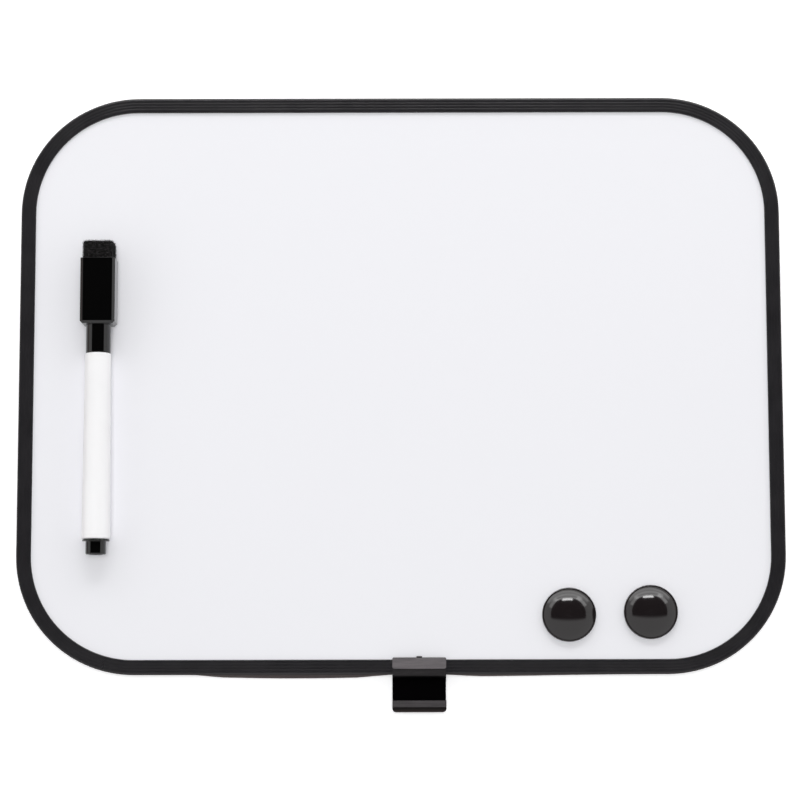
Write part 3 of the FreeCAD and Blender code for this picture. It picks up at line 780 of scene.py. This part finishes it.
def roll_back_edge(data):
    """Pushes the back of the bottom edge outwards where the soft trim has rolled."""
    depth = trim_high.z - trim_low.z
    bottom = trim_low.y + CORNER_RADIUS
    for vertex in data.vertices:
        place = vertex.co
        if place.y > bottom:
            continue
        lowness = clamped((trim_high.z - place.z) / depth)
        outness = clamped((trim_low.y + TRIM_FACE - place.y) / TRIM_FACE)
        push = 0.0
        for middle, width, amount in ROLLS:
            push += amount * math.exp(-(((place.x - middle) / width) ** 2))
        away = max(clip_low.x - place.x, place.x - clip_high.x, 0.0)
        push *= clamped(away / CLIP_CLEAR)
        push *= clamped((place.x - ROLL_END) / ROLL_FADE)
        place.y -= push * lowness * outness


def make_trim():
    route = flat_line("edge_trim", trim_route(), False)
    section = flat_line("trim section", [(outward, -up) for outward, up in trim_section()], True)
    sweep = route.modifiers.new("sweep", "NODES")
    sweep.node_group = sweep_tree()
    set_inputs(sweep, {"Section": section, "Finish": trim_pvc})
    made = baked(route)
    bpy.data.objects.remove(section)
    made.data.transform(Matrix.Translation((board_middle.x, board_middle.y, trim_low.z)))
    sheet = bmesh.new()
    sheet.from_mesh(made.data)
    bmesh.ops.recalc_face_normals(sheet, faces=sheet.faces)
    sheet.to_mesh(made.data)
    sheet.free()
    roll_back_edge(made.data)
    smooth_shaded(made.data)
    finished(made, "board", "frame_trim", trim_pvc)


make_trim()


# Round magnets: a domed cap with a rounded rim, turned round the disc it holds

DOME_RIM = 0.7 * MM
DOME_SIDE = 2.2 * MM
DOME_STEPS = 160
CROWN_STEPS = 28
RIM_ROUNDING = 0.45 * MM
RIM_STEPS = 4
DISC_PLAY = 0.05 * MM


def make_dome(side):
    node = f"magnet_{side}_cap"
    low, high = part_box(node)
    disc_low, disc_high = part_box(f"magnet_{side}_disc")
    middle = (low + high) / 2
    full = (high.x - low.x) / 2
    tall = high.z - low.z
    crown = full - DOME_RIM
    rise = tall - DOME_SIDE
    ball = (crown * crown + rise * rise) / (2 * rise)
    spread = math.degrees(math.asin(crown / ball))
    seat = (disc_high.x - disc_low.x) / 2 + DISC_PLAY
    roof = disc_high.z - disc_low.z
    soft = RIM_ROUNDING
    profile = [(0.0, roof), (seat, roof), (seat, 0.0)]
    profile += arc((full - soft, soft), soft, -90, 0, RIM_STEPS)
    profile += arc((full - soft, DOME_SIDE - soft), soft, 0, 90, RIM_STEPS)
    profile += arc((0.0, tall - ball), ball, 90 - spread, 90, CROWN_STEPS)
    profile[-1] = (0.0, tall)
    made = turned(f"magnet_{side}_dome", profile, (middle.x, middle.y, low.z), (0, 0, 1), DOME_STEPS)
    smooth_shaded(made.data)
    finished(made, f"magnet_{side}", node, magnet_abs)


for side in ("left", "right"):
    make_dome(side)


# Pieces that follow their CAD solids, with edges as the mould leaves them:
# piece, solid, body, slot, finish and the width of its broken edges in mm

SOFTENED = [
    ("pen_clip", "marker_clip", "clip", "clip_plastic", clip_abs, 0.16),
    ("cap_moulding", "marker_cap", "cap", "cap_plastic", cap_abs, 0.16),
    ("plug_moulding", "end_plug", "marker", "cap_plastic", cap_abs, 0.14),
    ("barrel_tube", "barrel", "marker", "barrel_plastic", barrel_plastic, 0.12),
]
for name, node, body, slot, material, width in SOFTENED:
    finished(softened(name, node, width), body, node, material)


# Eraser felt: a block with a soft edge, and loose fibre ends all over it

FELT_INSET = 0.25 * MM
FELT_ROUNDING = 0.7 * MM
FELT_ROUNDING_STEPS = 3
FELT_PROUD = 0.3 * MM

# Loose fibres: how many to a square metre, their size, and how far each leans, in radians at most.
# They are drawn about twice as thick as wool's own, so that they show.
FIBRES = 9.0e6
FIBRE_LENGTH = 0.75 * MM
FIBRE_RADIUS = 0.03 * MM
FIBRE_LEAN = 0.5
FIBRE_SEED = 7

# A random value has its sockets' names once for each of its kinds, so they go by number.
VECTOR_LEAST, VECTOR_MOST, VECTOR_VALUE = 0, 1, 0
NUMBER_LEAST, NUMBER_MOST, NUMBER_VALUE = 2, 3, 1


def nap_tree():
    """Scatters short bent fibres over a block."""
    tree = bpy.data.node_groups.new("Felt nap", "GeometryNodeTree")
    new_sockets(tree, (
        ("Block", "INPUT", "NodeSocketGeometry"),
        ("Fibres per square metre", "INPUT", "NodeSocketFloat"),
        ("Fibre length", "INPUT", "NodeSocketFloat"),
        ("Fibre radius", "INPUT", "NodeSocketFloat"),
        ("Seed", "INPUT", "NodeSocketInt"),
        ("Finish", "INPUT", "NodeSocketMaterial"),
        ("Felt", "OUTPUT", "NodeSocketGeometry"),
    ))
    given = add(tree, "NodeGroupInput")
    roots = add(
        tree,
        "GeometryNodeDistributePointsOnFaces",
        links={
            "Mesh": given.outputs["Block"],
            "Density": given.outputs["Fibres per square metre"],
            "Seed": given.outputs["Seed"],
        },
    )
    bend = add(
        tree,
        "GeometryNodeCurveQuadraticBezier",
        values={"Resolution": 3, "Start": (0, 0, -0.2), "Middle": (0.1, 0, 0.6), "End": (0.75, 0, 0.75)},
    )
    thin = add(
        tree,
        "GeometryNodeCurvePrimitiveCircle",
        values={"Resolution": 3},
        links={"Radius": given.outputs["Fibre radius"]},
    )
    sized = add(
        tree,
        "GeometryNodeTransform",
        links={"Geometry": bend.outputs["Curve"], "Scale": given.outputs["Fibre length"]},
    )
    fibre = add(
        tree,
        "GeometryNodeCurveToMesh",
        values={"Fill Caps": True},
        links={"Curve": sized.outputs["Geometry"], "Profile Curve": thin.outputs["Curve"]},
    )
    turn = add(
        tree,
        "FunctionNodeRandomValue",
        {"data_type": "FLOAT_VECTOR"},
        {
            VECTOR_LEAST: (-FIBRE_LEAN, -FIBRE_LEAN, -math.pi),
            VECTOR_MOST: (FIBRE_LEAN, FIBRE_LEAN, math.pi),
        },
        {"Seed": given.outputs["Seed"]},
    )
    turned_by = add(tree, "FunctionNodeEulerToRotation", links={"Euler": turn.outputs[VECTOR_VALUE]})
    lie = add(
        tree,
        "FunctionNodeRotateRotation",
        {"rotation_space": "LOCAL"},
        links={"Rotation": roots.outputs["Rotation"], "Rotate By": turned_by.outputs["Rotation"]},
    )
    growth = add(
        tree,
        "FunctionNodeRandomValue",
        {"data_type": "FLOAT"},
        {NUMBER_LEAST: 0.5, NUMBER_MOST: 1.2},
        {"Seed": given.outputs["Seed"]},
    )
    fibres = add(
        tree,
        "GeometryNodeInstanceOnPoints",
        links={
            "Points": roots.outputs["Points"],
            "Instance": fibre.outputs["Mesh"],
            "Rotation": lie.outputs["Rotation"],
            "Scale": growth.outputs[NUMBER_VALUE],
        },
    )
    whole = add(tree, "GeometryNodeRealizeInstances", links={"Geometry": fibres.outputs["Instances"]})
    joined = add(tree, "GeometryNodeJoinGeometry")
    for part in (given.outputs["Block"], whole.outputs["Geometry"]):
        feed(tree, joined, {"Geometry": part})
    dressed = add(
        tree,
        "GeometryNodeSetMaterial",
        links={"Geometry": joined.outputs["Geometry"], "Material": given.outputs["Finish"]},
    )
    add(tree, "NodeGroupOutput", links={"Felt": dressed.outputs["Geometry"]})
    return tree


def make_felt():
    low = felt_low + Vector((FELT_INSET, 0, FELT_INSET))
    high = felt_high - Vector((FELT_INSET, FELT_INSET, FELT_INSET))
    block = bmesh.new()
    bmesh.ops.create_cube(block, size=1.0)
    for vertex in block.verts:
        vertex.co = Vector([low[i] + (vertex.co[i] + 0.5) * (high[i] - low[i]) for i in range(3)])
    bmesh.ops.bevel(
        block,
        geom=block.edges[:],
        offset=FELT_ROUNDING,
        segments=FELT_ROUNDING_STEPS,
        profile=0.5,
        affect="EDGES",
    )
    made = object_from("eraser_block", block)
    nap = made.modifiers.new("nap", "NODES")
    nap.node_group = nap_tree()
    set_inputs(nap, {
        "Fibres per square metre": FIBRES,
        "Fibre length": FIBRE_LENGTH,
        "Fibre radius": FIBRE_RADIUS,
        "Seed": FIBRE_SEED,
        "Finish": felt,
    })
    made = baked(made)
    smooth_shaded(made.data)
    for vertex in made.data.vertices:
        proud = FELT_PROUD if vertex.co.y > holder_end else 0.0
        for i in range(3):
            vertex.co[i] = min(max(vertex.co[i], felt_low[i] - proud), felt_high[i] + proud)
    finished(made, "cap", "eraser_felt", felt)


make_felt()


# CAD nodes whose shape is right as it is

PLAIN = {
    "writing_sheet": enamel,
    "core_board": fibreboard,
    "backing_sheet": backing,
    "nib_holder": inner_plastic,
    "nib": nib_fibre,
    "ink_reservoir": sleeve_film,
    "cap_magnet": ferrite,
    "magnet_left_disc": ferrite,
    "magnet_right_disc": ferrite,
}
for node, material in PLAIN.items():
    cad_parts[node].data.materials.clear()
    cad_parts[node].data.materials.append(material)


# Desk, light and camera

DESK_HALF = 4.0

# The desk fades to plain white between these distances from the object's middle.
DESK_NEAR = 0.3
DESK_FAR = 0.6

# Nearer, this much light is added to what the camera sees of it, so that only the shadow stays grey.
DESK_LIFT = 0.4


def pale_desk():
    """Desk: a warm grey in the gloss of what lies on it, white to the camera where no shadow falls."""
    material, tree, shader = surface("Desk laminate", {"Base Color": linear("#B9ABA8"), "Roughness": 0.7})
    seen = add(tree, "ShaderNodeBsdfDiffuse", values={"Color": linear("#F7F7F8")})
    lift = add(tree, "ShaderNodeEmission", values={"Strength": DESK_LIFT})
    lifted = add(tree, "ShaderNodeAddShader", links={0: seen.outputs["BSDF"], 1: lift.outputs["Emission"]})
    place = add(tree, "ShaderNodeTexCoord")
    away = add(tree, "ShaderNodeVectorMath", {"operation": "LENGTH"}, links={0: place.outputs["Object"]})
    far = add(
        tree,
        "ShaderNodeMapRange",
        {"interpolation_type": "SMOOTHSTEP"},
        {"From Min": DESK_NEAR, "From Max": DESK_FAR},
        {"Value": away.outputs["Value"]},
    )
    white = add(tree, "ShaderNodeEmission", values={"Strength": 1.0})
    faded = add(
        tree,
        "ShaderNodeMixShader",
        links={0: far.outputs["Result"], 1: lifted.outputs["Shader"], 2: white.outputs["Emission"]},
    )
    path = add(tree, "ShaderNodeLightPath")
    chosen = add(
        tree,
        "ShaderNodeMixShader",
        links={0: path.outputs["Is Camera Ray"], 1: shader.outputs["BSDF"], 2: faded.outputs["Shader"]},
    )
    feed(tree, tree.nodes["Material Output"], {"Surface": chosen.outputs["Shader"]})
    return material


desk_corners = [(DESK_HALF * x, DESK_HALF * y, 0) for x, y in ((-1, -1), (1, -1), (1, 1), (-1, 1))]
desk = new_object("desk", mesh_from("desk", desk_corners, [(0, 1, 2, 3)]))
desk.data.materials.append(pale_desk())


def soft_panel(name, near, far, width, radiance, bearing=0.0, in_gloss=True, in_diffuse=True):
    """A lit panel between two level edges.

    An edge is (angle from overhead, distance), towards the bearing: 0 is +Y and 90 is +X.
    """
    edges = []
    for angle, distance in (near, far):
        turn = math.radians(angle)
        edges.append(Vector((0, math.sin(turn), math.cos(turn))) * distance)
    depth = (edges[1] - edges[0]).length
    data = bpy.data.lights.new(name, "AREA")
    data.shape = "RECTANGLE"
    data.size = width
    data.size_y = depth
    data.energy = radiance * math.pi * width * depth
    middle = (edges[0] + edges[1]) / 2
    facing = (edges[1] - edges[0]).cross(Vector((1, 0, 0))).normalized()
    if facing.dot(-middle) < 0:
        facing = -facing
    around = Matrix.Rotation(-math.radians(bearing), 4, "Z")
    aimed = (-facing).to_track_quat("Z", "Y").to_matrix().to_4x4()
    made = new_object(name, data)
    made.matrix_world = around @ Matrix.Translation(middle) @ aimed
    made.visible_camera = False
    made.visible_glossy = in_gloss
    made.visible_diffuse = in_diffuse


# Towards +Y: the softbox that draws the crescent on the round magnets, and the panels behind it.
# Its glint stands just in front of it, because the gloss sees only the nearer of the two.
soft_panel("key softbox", (45.5, 1.5), (52.5, 1.5), width=0.8, radiance=6.5)
soft_panel("key glint", (45.5, 1.45), (52.5, 1.45), width=0.78, radiance=8.0, in_diffuse=False)
soft_panel("wide softbox", (51, 1.5), (57, 1.5), width=2.2, radiance=2.6)
soft_panel("back panel", (54, 1.5), (71, 1.5), width=2.6, radiance=1.5)
soft_panel("low panel", (75, 1.5), (84, 1.5), width=5.0, radiance=0.8)

# Seen only in the gloss: a band that lights the upper rim of the magnets, and the arcs beside the crescent.
soft_panel("back glint", (63, 1.46), (84, 1.46), width=4.4, radiance=1.25, in_diffuse=False)
for bearing, radiance in ((-51, 1.7), (49, 2.4)):
    soft_panel(f"wing glint {bearing}", (57, 1.42), (69, 1.42), 0.8, radiance, bearing, in_diffuse=False)

# Even light that leaves no image of itself in the gloss: from over the board and from its sides.
soft_panel("front light", (-12, 1.9), (6, 1.9), width=0.6, radiance=13.2, in_gloss=False)
for bearing in (-90, 90):
    soft_panel(f"side light {bearing}", (50, 1.6), (78, 1.6), 3.0, 0.6, bearing, in_gloss=False)

# The studio's ceiling is dark: a black flag that only the gloss sees, thinning out towards its front edge.
FLAG_HEIGHT = 1.5
FLAG_RADIUS = 2.4
FLAG_STEPS = 90
FLAG_FRONT = -0.73
FLAG_FADE = 0.4


def black_flag():
    turn = math.degrees(math.asin(FLAG_FRONT / FLAG_RADIUS))
    rim = arc((0.0, 0.0), FLAG_RADIUS, turn, 180 - turn, FLAG_STEPS)
    data = mesh_from("ceiling flag", [(*point, FLAG_HEIGHT) for point in rim], [tuple(range(len(rim)))])
    material, tree, shader = surface(
        "Black velvet",
        {"Base Color": linear("#020202"), "Roughness": 1.0, "Specular IOR Level": 0.0},
    )
    clear = add(tree, "ShaderNodeBsdfTransparent")
    place = add(tree, "ShaderNodeSeparateXYZ", links={"Vector": pattern_place(tree)})
    thick = add(
        tree,
        "ShaderNodeMapRange",
        {"interpolation_type": "SMOOTHSTEP"},
        {"From Min": FLAG_FRONT, "From Max": FLAG_FRONT + FLAG_FADE},
        {"Value": place.outputs["Y"]},
    )
    cloth = add(
        tree,
        "ShaderNodeMixShader",
        links={0: thick.outputs["Result"], 1: clear.outputs["BSDF"], 2: shader.outputs["BSDF"]},
    )
    feed(tree, tree.nodes["Material Output"], {"Surface": cloth.outputs["Shader"]})
    data.materials.append(material)
    made = new_object("ceiling flag", data)
    made.visible_camera = False
    made.visible_diffuse = False
    made.visible_shadow = False


black_flag()

# White surroundings for the camera and for gloss, and a softer level for what they light.
SHOWN_LEVEL = 1.0
LIT_LEVEL = 0.3


def white_studio():
    world = bpy.data.worlds.new("studio")
    world.use_nodes = True
    tree = world.node_tree
    sky = tree.nodes["Background"]
    sky.inputs["Color"].default_value = (1, 1, 1, 1)
    sight = add(tree, "ShaderNodeLightPath")
    shown = sight.outputs["Is Camera Ray"]
    for ray in ("Is Glossy Ray", "Is Transmission Ray"):
        either = add(
            tree,
            "ShaderNodeMath",
            {"operation": "MAXIMUM"},
            links={0: shown, 1: sight.outputs[ray]},
        )
        shown = either.outputs["Value"]
    level = add(
        tree,
        "ShaderNodeMapRange",
        values={"To Min": LIT_LEVEL, "To Max": SHOWN_LEVEL},
        links={"Value": shown},
    )
    feed(tree, sky, {"Strength": level.outputs["Result"]})
    return world


bpy.context.scene.world = white_studio()

# The camera stands over the board, leaning a little towards its bottom edge.
AIM = Vector((-0.26 * MM, 0.37 * MM, writing_face))
CAMERA_DISTANCE = 1000.0 * MM
CAMERA_LEAN = math.radians(6.95)
CAMERA_ROLL = math.radians(-0.12)
FOCAL_LENGTH_MM = 112.72
SENSOR_WIDTH_MM = 36.0
NEAREST_SEEN = 0.05

lens = bpy.data.cameras.new("camera")
lens.lens = FOCAL_LENGTH_MM
lens.sensor_width = SENSOR_WIDTH_MM
lens.clip_start = NEAREST_SEEN
camera = new_object("camera", lens)
camera.location = AIM + Vector((0, -math.sin(CAMERA_LEAN), math.cos(CAMERA_LEAN))) * CAMERA_DISTANCE
camera.rotation_euler = (
    Matrix.Rotation(CAMERA_LEAN, 3, "X") @ Matrix.Rotation(CAMERA_ROLL, 3, "Z")
).to_euler()
bpy.context.scene.camera = camera
bpy.context.scene.view_settings.view_transform = "Standard"
